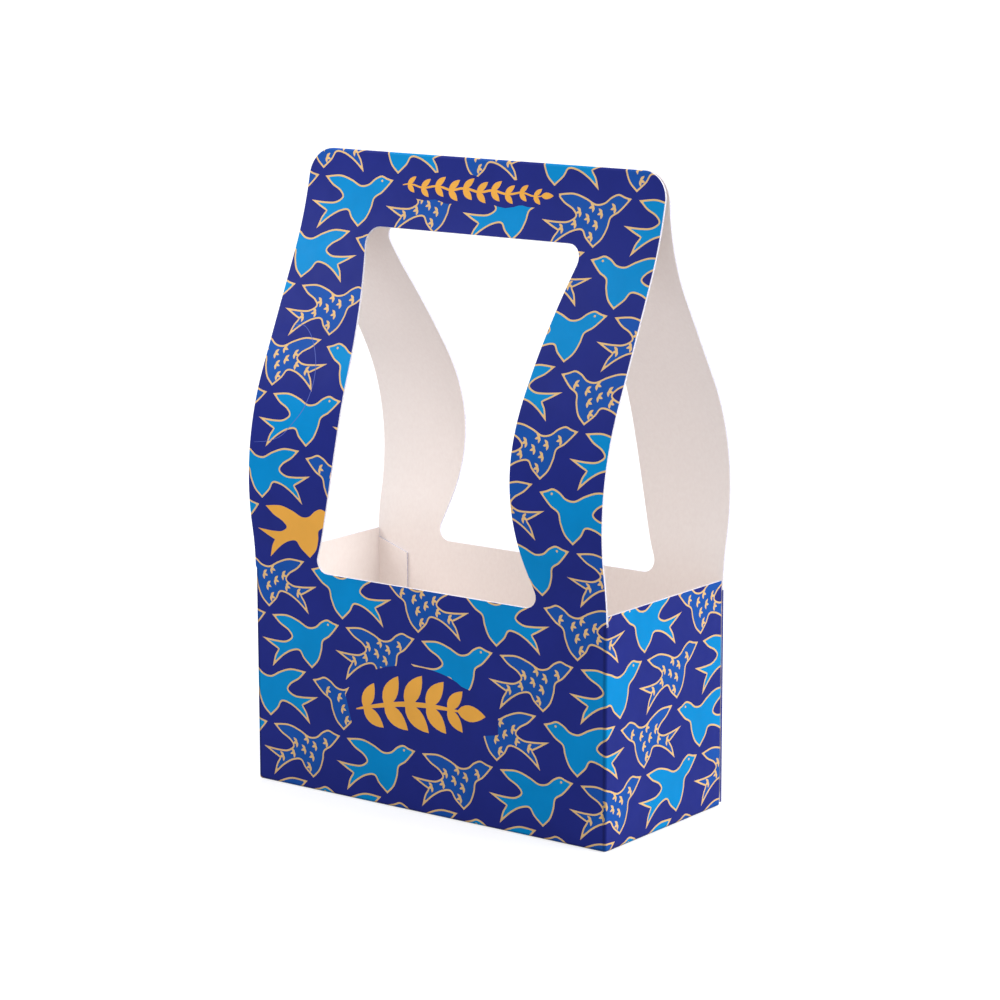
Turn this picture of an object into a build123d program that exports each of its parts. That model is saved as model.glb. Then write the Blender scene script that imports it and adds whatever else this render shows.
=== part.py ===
from build123d import *

import os
from dataclasses import dataclass
from math import cos, pi, radians, sin

# A cardboard cup carrier with a handle: one sheet of printed board, cut, creased and glued.
# The front and rear walls run up into two tall panels that meet in a fold along the top. A
# window cut through both leaves a strap at each end and a bar to hold. The side walls are
# creased off the front wall and end in tabs glued inside the rear wall. The floor is a full
# flap from the front wall. The side flaps step up beside it and are glued onto it, and so is a
# short rear flap.
#
# Frame, in millimetres: X along the front wall, the front wall on the -Y side, Z up, and the
# origin on the floor under the middle of the box.

# Board and creases
BOARD = 0.9                       # thickness of the sheet
CREASE_INNER_RADIUS = 0.1         # inside a pressed crease
TOP_FOLD_INNER_RADIUS = 0.2       # inside the fold along the top of the handle

# Box
BOX_WIDTH = 174.0                 # outside, along X
BOX_DEPTH = 80.0                  # outside, along Y
SIDE_HEIGHT = 92.0                # top edge of the side walls
SLIT_DEPTH = 4.0                  # cut that frees a side wall's top corners from the straps
SLIT_WIDTH = 0.5

# Handle
TOTAL_HEIGHT = 256.0              # to the fold along the top
TOP_CORNER_RADIUS = 11.0
BAR_DEPTH = 29.0                  # board left above the window
WINDOW_TOP_WIDTH = 108.6          # along X, before its corners are rounded
WINDOW_WAIST_WIDTH = 85.6         # between the straps where they are widest
WINDOW_WAIST_HEIGHT = 152.0
WINDOW_SILL_WIDTH = 114.0
WINDOW_SILL_HEIGHT = 90.5
WINDOW_TOP_CORNER_RADIUS = 6.0
WINDOW_SILL_CORNER_RADIUS = 5.0

# Floor flaps and glue tabs
FLAP_CLEARANCE = 1.2              # from a flap's free edge to the wall it stops at
SIDE_FLAP_LENGTH = 36.0
SIDE_FLAP_TAPER = 6.0             # how much narrower a side flap is at each end of its free edge
STEP_FOOT = 0.8                   # flat board from a side wall's floor crease to the step up
STEP_TURN = 24.0                  # slope of the step, in degrees
STEP_INNER_RADIUS = 0.6           # inside its two bends
STEP_CLEARANCE = 0.5              # from the step to the front flap's side edge
EDGE_LIFT = 0.2                   # from the floor to a wall's cut edge beside its floor flap
REAR_FLAP_DEPTH = 20.0
TAB_WIDTH = 15.0
TAB_TAPER = 5.0                   # how much shorter a tab is at each end of its free edge
TAB_LIFT = 4.0                    # from the floor's upper face to a tab

# Worked out from the sizes above
CREASE_RADIUS = CREASE_INNER_RADIUS + BOARD
TOP_FOLD_RADIUS = TOP_FOLD_INNER_RADIUS + BOARD
HALF_WIDTH = BOX_WIDTH / 2
HALF_DEPTH = BOX_DEPTH / 2
SLIT_FOOT = SIDE_HEIGHT - SLIT_DEPTH
STRAP_HEIGHT = TOTAL_HEIGHT - SLIT_FOOT
FLOOR_TOP = 2 * BOARD
INNER_HALF_WIDTH = HALF_WIDTH - BOARD
INNER_HALF_DEPTH = HALF_DEPTH - BOARD
REAR_FLAP_EDGE = HALF_DEPTH - REAR_FLAP_DEPTH
SIDE_FLAP_FRONT = FLAP_CLEARANCE - INNER_HALF_DEPTH
SIDE_FLAP_REAR = REAR_FLAP_EDGE - FLAP_CLEARANCE
OVERCUT = 1.0                               # how far a cutting tool runs past what it cuts


@dataclass(frozen=True)
class Bow:
    """How one tall panel bends above the box, followed upwards.

    Shares are of the height above the slits; turns are in degrees, inwards positive.
    """

    rim_share: float              # bend outwards just above the side walls
    rim_turn: float
    belly_turn: float             # bend inwards over the widest part
    crown_share: float            # bend back towards upright below the top fold
    crown_turn: float


FRONT_BOW = Bow(rim_share=0.104, rim_turn=-10.4, belly_turn=35.1, crown_share=0.252, crown_turn=-16.8)
REAR_BOW = Bow(rim_share=0.116, rim_turn=-13.0, belly_turn=43.6, crown_share=0.3, crown_turn=-34.8)


@dataclass(frozen=True)
class Station:
    """A point of the board's outer face, seen along its creases."""

    out: float                    # distance outwards from the middle of the box
    up: float
    lean: float                   # degrees from upright, inwards positive; -90 lies flat, heading outwards

    def point(self, side: int, inset: float) -> tuple[float, float]:
        """Gives the point `inset` deep in the board, on the lower (-1) or upper (+1) side of the axis."""
        lean = radians(self.lean)
        return side * (self.out - inset * cos(lean)), self.up - inset * sin(lean)

    def move(self, length: float, turn: float) -> "Station":
        """Gives the station reached along a run of the given length that turns evenly by `turn` degrees."""
        start, end = radians(self.lean), radians(self.lean + turn)
        if turn == 0:
            return Station(self.out - length * sin(start), self.up + length * cos(start), self.lean)
        radius = length / (end - start)
        out = self.out + radius * (cos(end) - cos(start))
        up = self.up + radius * (sin(end) - sin(start))
        return Station(out, up, self.lean + turn)


def fold_station(bow: Bow) -> Station:
    """Gives the place where a panel reaches the fold along the top."""
    lean = bow.rim_turn + bow.belly_turn + bow.crown_turn
    centre_height = TOTAL_HEIGHT - TOP_FOLD_RADIUS
    return Station(TOP_FOLD_RADIUS * cos(radians(lean)),
                   centre_height + TOP_FOLD_RADIUS * sin(radians(lean)), lean)


def panel_runs(bow: Bow, flap_edge: Station) -> list[tuple[float, float]]:
    """Gives a panel's runs, as (length, turn), from its floor flap's free edge to the top of the fold.

    The belly and the straight above it take the lengths that bring the panel to the fold:
    two unknown lengths that meet two distances, outwards and upwards.
    """
    flap = (HALF_DEPTH - CREASE_RADIUS - flap_edge.out, 0.0)
    crease = (CREASE_RADIUS * pi / 2, 90.0)
    wall = (SLIT_FOOT - flap_edge.up - CREASE_RADIUS, 0.0)
    rim = (bow.rim_share * STRAP_HEIGHT, bow.rim_turn)
    crown = (bow.crown_share * STRAP_HEIGHT, bow.crown_turn)
    top = fold_station(bow)
    fold = (TOP_FOLD_RADIUS * radians(90 - top.lean), 90 - top.lean)

    below = flap_edge
    for run in (flap, crease, wall, rim):
        below = below.move(*run)
    steepest = below.lean + bow.belly_turn
    belly_step = Station(0.0, 0.0, below.lean).move(1.0, bow.belly_turn)
    straight_step = Station(0.0, 0.0, steepest).move(1.0, 0.0)
    crown_step = Station(0.0, 0.0, steepest).move(*crown)
    need_out = top.out - below.out - crown_step.out
    need_up = top.up - below.up - crown_step.up
    span = belly_step.out * straight_step.up - straight_step.out * belly_step.up
    belly_length = (need_out * straight_step.up - straight_step.out * need_up) / span
    straight_length = (belly_step.out * need_up - need_out * belly_step.up) / span
    return [flap, crease, wall, rim, (belly_length, bow.belly_turn), (straight_length, 0.0), crown, fold]


def strip_section(free_edge: Station, runs: list[tuple[float, float]], side: int) -> Sketch:
    """Draws a strip of board seen along its creases, from its free edge through its runs."""
    edges = [Line(free_edge.point(side, 0.0), free_edge.point(side, BOARD))]
    for inset in (0.0, BOARD):
        start = free_edge
        for length, turn in runs:
            end = start.move(length, turn)
            if turn == 0:
                edges.append(Line(start.point(side, inset), end.point(side, inset)))
            else:
                middle = start.move(length / 2, turn / 2)
                points = [station.point(side, inset) for station in (start, middle, end)]
                edges.append(ThreePointArc(*points))
            start = end
    edges.append(Line(start.point(side, 0.0), start.point(side, BOARD)))
    return make_face(edges)


def front_panel() -> Part:
    """Makes the front panel, with a floor flap that reaches nearly to the rear wall."""
    flap_edge = Station(FLAP_CLEARANCE - INNER_HALF_DEPTH, 0.0, -90.0)
    section = strip_section(flap_edge, panel_runs(FRONT_BOW, flap_edge), -1)
    return extrude(Plane.YZ * section, HALF_WIDTH, both=True)


def rear_panel() -> Part:
    """Makes the rear panel, with a short floor flap that lies on the front one."""
    flap_edge = Station(REAR_FLAP_EDGE, BOARD, -90.0)
    section = strip_section(flap_edge, panel_runs(REAR_BOW, flap_edge), 1)
    return extrude(Plane.YZ * section, HALF_WIDTH, both=True)


def window_outline() -> Sketch:
    """Draws the handle window seen from the front: waisted sides and rounded corners."""
    top = TOTAL_HEIGHT - BAR_DEPTH
    waist = (WINDOW_WAIST_WIDTH / 2, WINDOW_WAIST_HEIGHT)
    upper = TangentArc(waist, (WINDOW_TOP_WIDTH / 2, top), tangent=(0, 1))
    lower = TangentArc(waist, (WINDOW_SILL_WIDTH / 2, WINDOW_SILL_HEIGHT), tangent=(0, -1))
    right = [upper, lower]
    left = [mirror(edge, Plane.YZ) for edge in right]
    head = Line((-WINDOW_TOP_WIDTH / 2, top), (WINDOW_TOP_WIDTH / 2, top))
    sill = Line((-WINDOW_SILL_WIDTH / 2, WINDOW_SILL_HEIGHT), (WINDOW_SILL_WIDTH / 2, WINDOW_SILL_HEIGHT))
    outline = make_face([*right, *left, head, sill])
    corners = outline.vertices().sort_by(Axis.Y)
    outline = fillet(corners[:2], WINDOW_SILL_CORNER_RADIUS)
    return fillet(outline.vertices().sort_by(Axis.Y)[-2:], WINDOW_TOP_CORNER_RADIUS)


def panel_outline() -> Sketch:
    """Draws the tall panels seen from the front, with the top corners rounded and the window out."""
    blank = Pos(0, TOTAL_HEIGHT / 2) * Rectangle(BOX_WIDTH, TOTAL_HEIGHT)
    blank = fillet(blank.vertices().sort_by(Axis.Y)[-2:], TOP_CORNER_RADIUS)
    return blank - window_outline()


def tall_panels() -> Part:
    """Makes the front and rear panels with their floor flaps, before the side walls are added."""
    ribbon = front_panel() + rear_panel()
    ribbon = ribbon & extrude(Plane.XZ * panel_outline(), BOX_DEPTH, both=True)
    flat_half = HALF_WIDTH - CREASE_RADIUS
    trim_depth = BOX_DEPTH - CREASE_RADIUS + OVERCUT
    trim = Box(CREASE_RADIUS + OVERCUT, trim_depth, SLIT_FOOT + OVERCUT, align=(Align.MIN, Align.MIN, Align.MAX))
    trim = Pos(flat_half, -HALF_DEPTH - OVERCUT, SLIT_FOOT) * trim

    flap_half = flat_half - STEP_FOOT - step_reach() - STEP_CLEARANCE
    flap_trim = Box(HALF_WIDTH - flap_half + OVERCUT, BOX_DEPTH, BOARD + OVERCUT,
                    align=(Align.MIN, Align.MIN, Align.MAX))
    flap_trim = Pos(flap_half, -HALF_DEPTH + CREASE_RADIUS, BOARD) * flap_trim
    for cut in (trim, flap_trim):
        ribbon = ribbon - cut - mirror(cut, Plane.YZ)
    return ribbon


def side_wall() -> Part:
    """Makes the right side wall: corner crease, wall, floor flap and glue tab."""
    crease_x = HALF_WIDTH - CREASE_RADIUS
    crease_y = -HALF_DEPTH + CREASE_RADIUS

    corner = CenterArc((crease_x, crease_y), CREASE_RADIUS, -90, 90)
    inner_corner = CenterArc((crease_x, crease_y), CREASE_INNER_RADIUS, -90, 90)
    plan = make_face([
        corner,
        Line(corner @ 1, (HALF_WIDTH, INNER_HALF_DEPTH)),
        Line((HALF_WIDTH, INNER_HALF_DEPTH), (INNER_HALF_WIDTH, INNER_HALF_DEPTH)),
        Line((INNER_HALF_WIDTH, INNER_HALF_DEPTH), inner_corner @ 1),
        inner_corner,
        Line(inner_corner @ 0, corner @ 0),
    ])
    wall = Pos(0, 0, EDGE_LIFT) * extrude(plan, SLIT_FOOT - EDGE_LIFT)
    flap_place = Box(CREASE_RADIUS + OVERCUT, SIDE_FLAP_REAR - SIDE_FLAP_FRONT, CREASE_RADIUS + OVERCUT,
                     align=(Align.MIN, Align.MIN, Align.MAX))
    wall = wall - Pos(crease_x, SIDE_FLAP_FRONT, CREASE_RADIUS) * flap_place

    lip_length = 2 * (INNER_HALF_DEPTH - SLIT_WIDTH)
    lip = Box(BOARD, lip_length, SLIT_DEPTH, align=(Align.MAX, Align.CENTER, Align.MIN))
    lip = Pos(HALF_WIDTH, 0, SLIT_FOOT) * lip

    return wall + lip + side_flap() + glue_tab()


def step_slope() -> float:
    """Gives the length of the straight slope between the two bends of a side flap's step."""
    bends = 2 * STEP_INNER_RADIUS + BOARD
    return (BOARD - bends * (1 - cos(radians(STEP_TURN)))) / sin(radians(STEP_TURN))


def step_reach() -> float:
    """Gives how far a side flap's step reaches along X."""
    bends = 2 * STEP_INNER_RADIUS + BOARD
    return bends * sin(radians(STEP_TURN)) + step_slope() * cos(radians(STEP_TURN))


def side_flap() -> Part:
    """Makes the right side wall's floor flap, which steps up beside the front flap and lies on it."""
    turn = radians(STEP_TURN)
    free_edge = Station(HALF_WIDTH - SIDE_FLAP_LENGTH, BOARD, -90.0)
    runs = [
        (SIDE_FLAP_LENGTH - CREASE_RADIUS - STEP_FOOT - step_reach(), 0.0),
        (STEP_INNER_RADIUS * turn, -STEP_TURN),
        (step_slope(), 0.0),
        ((STEP_INNER_RADIUS + BOARD) * turn, STEP_TURN),
        (STEP_FOOT, 0.0),
        (CREASE_RADIUS * pi / 2, 90.0),
    ]
    section = strip_section(free_edge, runs, 1)
    flap = extrude(Plane.XZ * section, SIDE_FLAP_FRONT - SIDE_FLAP_REAR)
    flap = Pos(0, SIDE_FLAP_FRONT, 0) * flap

    full_x = HALF_WIDTH - CREASE_RADIUS - STEP_FOOT - step_reach()
    outline = make_face(Polyline(
        (HALF_WIDTH + OVERCUT, SIDE_FLAP_FRONT),
        (HALF_WIDTH + OVERCUT, SIDE_FLAP_REAR),
        (full_x, SIDE_FLAP_REAR),
        (free_edge.out, SIDE_FLAP_REAR - SIDE_FLAP_TAPER),
        (free_edge.out, SIDE_FLAP_FRONT + SIDE_FLAP_TAPER),
        (full_x, SIDE_FLAP_FRONT),
        close=True,
    ))
    return flap & extrude(outline, FLOOR_TOP)


def glue_tab() -> Part:
    """Makes the tab at the right side wall's rear edge, glued inside the rear wall."""
    foot = FLOOR_TOP + TAB_LIFT
    tab = make_face(Polyline(
        (INNER_HALF_WIDTH, foot),
        (INNER_HALF_WIDTH, SLIT_FOOT),
        (INNER_HALF_WIDTH - TAB_WIDTH, SLIT_FOOT - TAB_TAPER),
        (INNER_HALF_WIDTH - TAB_WIDTH, foot + TAB_TAPER),
        close=True,
    ))
    tab = extrude(Plane.XZ * tab, BOARD)
    return Pos(0, INNER_HALF_DEPTH, 0) * tab


def carrier() -> Part:
    """Joins the panels, side walls and flaps into the one folded sheet."""
    right = side_wall()
    sheet = tall_panels() + right + mirror(right, Plane.YZ)
    sheet.label = "carrier"
    return sheet


os.makedirs("parts", exist_ok=True)
export_step(carrier(), "parts/carrier.step")
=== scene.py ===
"""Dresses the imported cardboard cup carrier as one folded, printed sheet on a pale studio floor.

The sheet is drawn flat, as its maker cuts and prints it. Its face is divided along the outlines
of the print, and every point is then carried to its place on the folded carrier. Lengths are in
millimetres until a mesh is made, because the board's sizes are plain numbers in them.
"""
import logging
from dataclasses import dataclass, field, replace
from enum import Enum, IntEnum
from math import cos, pi, radians, sin, sqrt

import bpy
import numpy as np
from mathutils import Matrix, Vector
from mathutils.geometry import delaunay_2d_cdt
from mathutils.kdtree import KDTree


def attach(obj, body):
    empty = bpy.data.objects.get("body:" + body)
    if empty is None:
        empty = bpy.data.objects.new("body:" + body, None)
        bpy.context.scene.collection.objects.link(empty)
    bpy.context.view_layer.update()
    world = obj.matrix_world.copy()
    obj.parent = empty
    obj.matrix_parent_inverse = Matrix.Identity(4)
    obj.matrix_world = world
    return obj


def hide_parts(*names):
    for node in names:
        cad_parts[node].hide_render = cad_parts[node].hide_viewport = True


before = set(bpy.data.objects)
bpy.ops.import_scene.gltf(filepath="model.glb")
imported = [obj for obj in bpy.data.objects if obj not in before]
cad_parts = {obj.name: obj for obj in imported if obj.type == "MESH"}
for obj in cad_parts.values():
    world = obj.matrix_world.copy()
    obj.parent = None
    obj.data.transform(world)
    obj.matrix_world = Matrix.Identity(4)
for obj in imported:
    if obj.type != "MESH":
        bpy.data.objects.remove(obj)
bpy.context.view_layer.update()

LOG = logging.getLogger("carrier")
MM = 0.001                # metres in a millimetre
CLOSE = 1e-4              # millimetres: points nearer than this are one point of the flat sheet
FLAT = 1e-3               # share of a bend that is left where it is flat, so that it has a radius
WHITE = (1.0, 1.0, 1.0, 1.0)
PAINTED_SHADE = "painted_shade"             # painted shade: the mesh's share at each point of the shade painted along the corner creases and of the contact shadow painted along the foot, which darkens the inks

Points = np.ndarray       # rows of flat (u, v) or solid (x, y, z) coordinates
Spot = tuple[float, float]
Run = tuple[float, float]             # length and turn of a strip of board
Colour = tuple[float, float, float]
Socket = bpy.types.NodeSocket


def rows(*columns: Points | float) -> Points:
    """Joins columns of coordinates into rows."""
    return np.stack(np.broadcast_arrays(*columns), 1)


def left_of(way: Points) -> Points:
    """Gives unit vectors a quarter turn to the left of flat ones."""
    return rows(-way[:, 1], way[:, 0]) / np.linalg.norm(way, axis=1, keepdims=True)


def srgb(*display: int) -> Colour:
    """Gives the linear colour of a display's red, green and blue from 0 to 255."""
    shares = [value / 255 for value in display]
    return tuple(x / 12.92 if x <= 0.04045 else ((x + 0.055) / 1.055) ** 2.4 for x in shares)


class Face(IntEnum):
    """What a face of the sheet shows; the value is its material slot."""

    GROUND = 0
    AZURE = 1
    ROYAL = 2
    GOLD = 3
    LINE = 4
    PRESSED = 5
    BARE = 6
    EDGE = 7


@dataclass(frozen=True)
class Bow:
    """How one tall panel bends above the box, followed upwards.

    Shares are of the height above the slits; turns are in degrees, inwards positive.
    """

    rim_share: float
    rim_turn: float
    belly_turn: float
    crown_share: float
    crown_turn: float


@dataclass(frozen=True)
class Station:
    """A point of a panel's printed face, seen from the side; lean is in radians from upright."""

    out: float
    up: float
    lean: float

    def move(self, length: float, turn: float) -> "Station":
        """Gives the station at the end of a run.

        Args:
            length: Length of the run along the face.
            turn: How far the face turns inwards along it, in radians.

        Returns:
            The station at the run's end.
        """
        end = self.lean + turn
        if turn == 0:
            return Station(self.out - length * sin(end), self.up + length * cos(end), end)
        radius = length / turn
        return Station(self.out + radius * (cos(end) - cos(self.lean)),
                       self.up + radius * (sin(end) - sin(self.lean)), end)


@dataclass(frozen=True)
class CarrierSizes:
    """Sizes of the folded carrier, the same as in the part's source."""

    board: float = 0.9
    crease_radius: float = 1.0
    top_fold_radius: float = 1.1
    width: float = 174.0
    depth: float = 80.0
    side_height: float = 92.0
    slit_depth: float = 4.0
    slit_width: float = 0.5
    height: float = 256.0
    top_corner_radius: float = 11.0
    bar_depth: float = 29.0
    window_top_width: float = 108.6
    window_waist_width: float = 85.6
    window_waist_height: float = 152.0
    window_sill_width: float = 114.0
    window_sill_height: float = 90.5
    window_top_corner: float = 6.0
    window_sill_corner: float = 5.0
    flap_clearance: float = 1.2
    side_flap_length: float = 36.0
    side_flap_taper: float = 6.0
    step_foot: float = 0.8            # flat board from a side wall's floor crease to its flap's step
    step_turn: float = 24.0           # slope of the step, in degrees
    step_inner_radius: float = 0.6
    step_clearance: float = 0.5
    edge_lift: float = 0.2            # from the floor to a wall's cut edge beside its floor flap
    rear_flap_depth: float = 20.0
    tab_width: float = 15.0
    tab_taper: float = 5.0
    tab_lift: float = 4.0
    front_bow: Bow = Bow(
        rim_share=0.104, rim_turn=-10.4, belly_turn=35.1, crown_share=0.252, crown_turn=-16.8)
    rear_bow: Bow = Bow(
        rim_share=0.116, rim_turn=-13.0, belly_turn=43.6, crown_share=0.3, crown_turn=-34.8)
    glue_line: float = 0.03           # between two layers of board, so that they don't share a face
    slit_curl: float = 1.6            # height over which a strap flattens out above its slit
    crease_shade_reach: float = 0.8          # how far in front of a corner's crease the ink is darkened by painted crease shade
    crease_shade_end: float = 0.6            # share of that painted shade halfway round the crease
    foot_shade_reach: float = 1.4           # how far up from the floor the ink is darkened by painted contact shadow

    @property
    def slit_foot(self) -> float:
        """Height of the slits' lower ends."""
        return self.side_height - self.slit_depth

    @property
    def strap_height(self) -> float:
        """Height of the tall panels above the slits."""
        return self.height - self.slit_foot

    @property
    def half_width(self) -> float:
        """Half the outside width."""
        return self.width / 2

    @property
    def half_depth(self) -> float:
        """Half the outside depth."""
        return self.depth / 2

    @property
    def flat_half(self) -> float:
        """Half the front wall's flat width, between its corner creases."""
        return self.half_width - self.crease_radius

    @property
    def quarter(self) -> float:
        """Flat length of a crease's quarter turn."""
        return self.crease_radius * pi / 2

    @property
    def lift(self) -> float:
        """Height of the floor's second layer of board."""
        return self.board + self.glue_line

    def step_runs(self) -> list[Run]:
        """Works out a side flap's step, from the floor's upper layer down to its crease.

        Returns:
            The step's runs.
        """
        turn, bends = radians(self.step_turn), 2 * self.step_inner_radius + self.board
        slope = (self.lift - bends * (1 - cos(turn))) / sin(turn)
        inner, outer = self.step_inner_radius * turn, (self.step_inner_radius + self.board) * turn
        return [(inner, -turn), (slope, 0.0), (outer, turn), (self.step_foot, 0.0)]


class BoardPath:
    """The printed face of a strip of board seen along its creases, from its free edge on."""

    def __init__(self, free_edge: Station, runs: list[Run]) -> None:
        """Follows the runs.

        Args:
            free_edge: Where the face starts.
            runs: Length and turn of each run.
        """
        self.runs = runs
        self.stations = [free_edge]
        for run in runs:
            self.stations.append(self.stations[-1].move(*run))
        self.starts = np.concatenate(([0.0], np.cumsum([run[0] for run in runs])))
        self.length = float(self.starts[-1])

    def at(self, along: Points) -> tuple[Points, Points, Points]:
        """Gives the face at distances from the flap's free edge.

        Args:
            along: Distances along the face.

        Returns:
            Distance outwards, height and lean at each.
        """
        out, up, lean = (np.zeros(len(along)) for _ in range(3))
        index = np.clip(np.searchsorted(self.starts, along, side="right") - 1, 0, len(self.runs) - 1)
        for number, (length, turn) in enumerate(self.runs):
            here = index == number
            start = self.stations[number]
            step = along[here] - self.starts[number]
            if turn == 0:
                lean[here] = start.lean
                out[here] = start.out - step * sin(start.lean)
                up[here] = start.up + step * cos(start.lean)
            else:
                radius = length / turn
                lean[here] = start.lean + step / radius
                out[here] = start.out + radius * (np.cos(lean[here]) - cos(start.lean))
                up[here] = start.up + radius * (np.sin(lean[here]) - sin(start.lean))
        return out, up, lean

    def bends(self, step: float, crease_parts: int) -> list[float]:
        """Gives the distances at which the face is divided so that its bends come out round.

        Args:
            step: Longest part of a gentle bend.
            crease_parts: Parts of a crease or of the top fold.

        Returns:
            Distances from the flap's free edge.
        """
        places: list[float] = []
        for number, (length, turn) in enumerate(self.runs):
            if turn == 0:
                continue
            parts = crease_parts if abs(turn) > 1 else max(2, round(length / step))
            places += list(self.starts[number] + np.linspace(0.0, length, parts + 1))
        return places


class PanelPath(BoardPath):
    """A tall panel seen from the side, from its floor flap's free edge to the top of the fold."""

    def __init__(self, sizes: CarrierSizes, bow: Bow, flap_edge: Station) -> None:
        """Works out the panel's runs.

        Args:
            sizes: The carrier's sizes.
            bow: How the panel bends above the box.
            flap_edge: The free edge of its floor flap.
        """
        rim = (bow.rim_share * sizes.strap_height, radians(bow.rim_turn))
        crown = (bow.crown_share * sizes.strap_height, radians(bow.crown_turn))
        belly_turn = radians(bow.belly_turn)
        top_lean = rim[1] + belly_turn + crown[1]
        centre = sizes.height - sizes.top_fold_radius
        top = Station(sizes.top_fold_radius * cos(top_lean),
                      centre + sizes.top_fold_radius * sin(top_lean), top_lean)

        crease = sizes.crease_radius
        flap = (sizes.half_depth - crease - flap_edge.out, 0.0)
        wall = (sizes.slit_foot - flap_edge.up - crease, 0.0)
        foot = [flap, (sizes.quarter, pi / 2), wall, rim]
        below = flap_edge
        for run in foot:
            below = below.move(*run)
        lengths = self._solve(below, belly_turn, crown, top)
        fold = (sizes.top_fold_radius * (pi / 2 - top_lean), pi / 2 - top_lean)
        super().__init__(flap_edge, [*foot, (lengths[0], belly_turn), (lengths[1], 0.0), crown, fold])
        self.wall_start = float(self.starts[2])
        self.wall_height = self.stations[2].up

    @staticmethod
    def _solve(below: Station, belly_turn: float, crown: Run, top: Station) -> Points:
        """Finds the lengths of the belly and of the straight above it that bring the panel to the fold.

        Args:
            below: Where the belly starts.
            belly_turn: The belly's turn.
            crown: The run between the straight and the fold.
            top: Where the fold starts.

        Returns:
            Both lengths.
        """
        steep = below.lean + belly_turn
        belly = Station(0.0, 0.0, below.lean).move(1.0, belly_turn)
        straight = Station(0.0, 0.0, steep).move(1.0, 0.0)
        end = Station(0.0, 0.0, steep).move(*crown)
        need = (top.out - below.out - end.out, top.up - below.up - end.up)
        return np.linalg.solve([[belly.out, straight.out], [belly.up, straight.up]], need)


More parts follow.
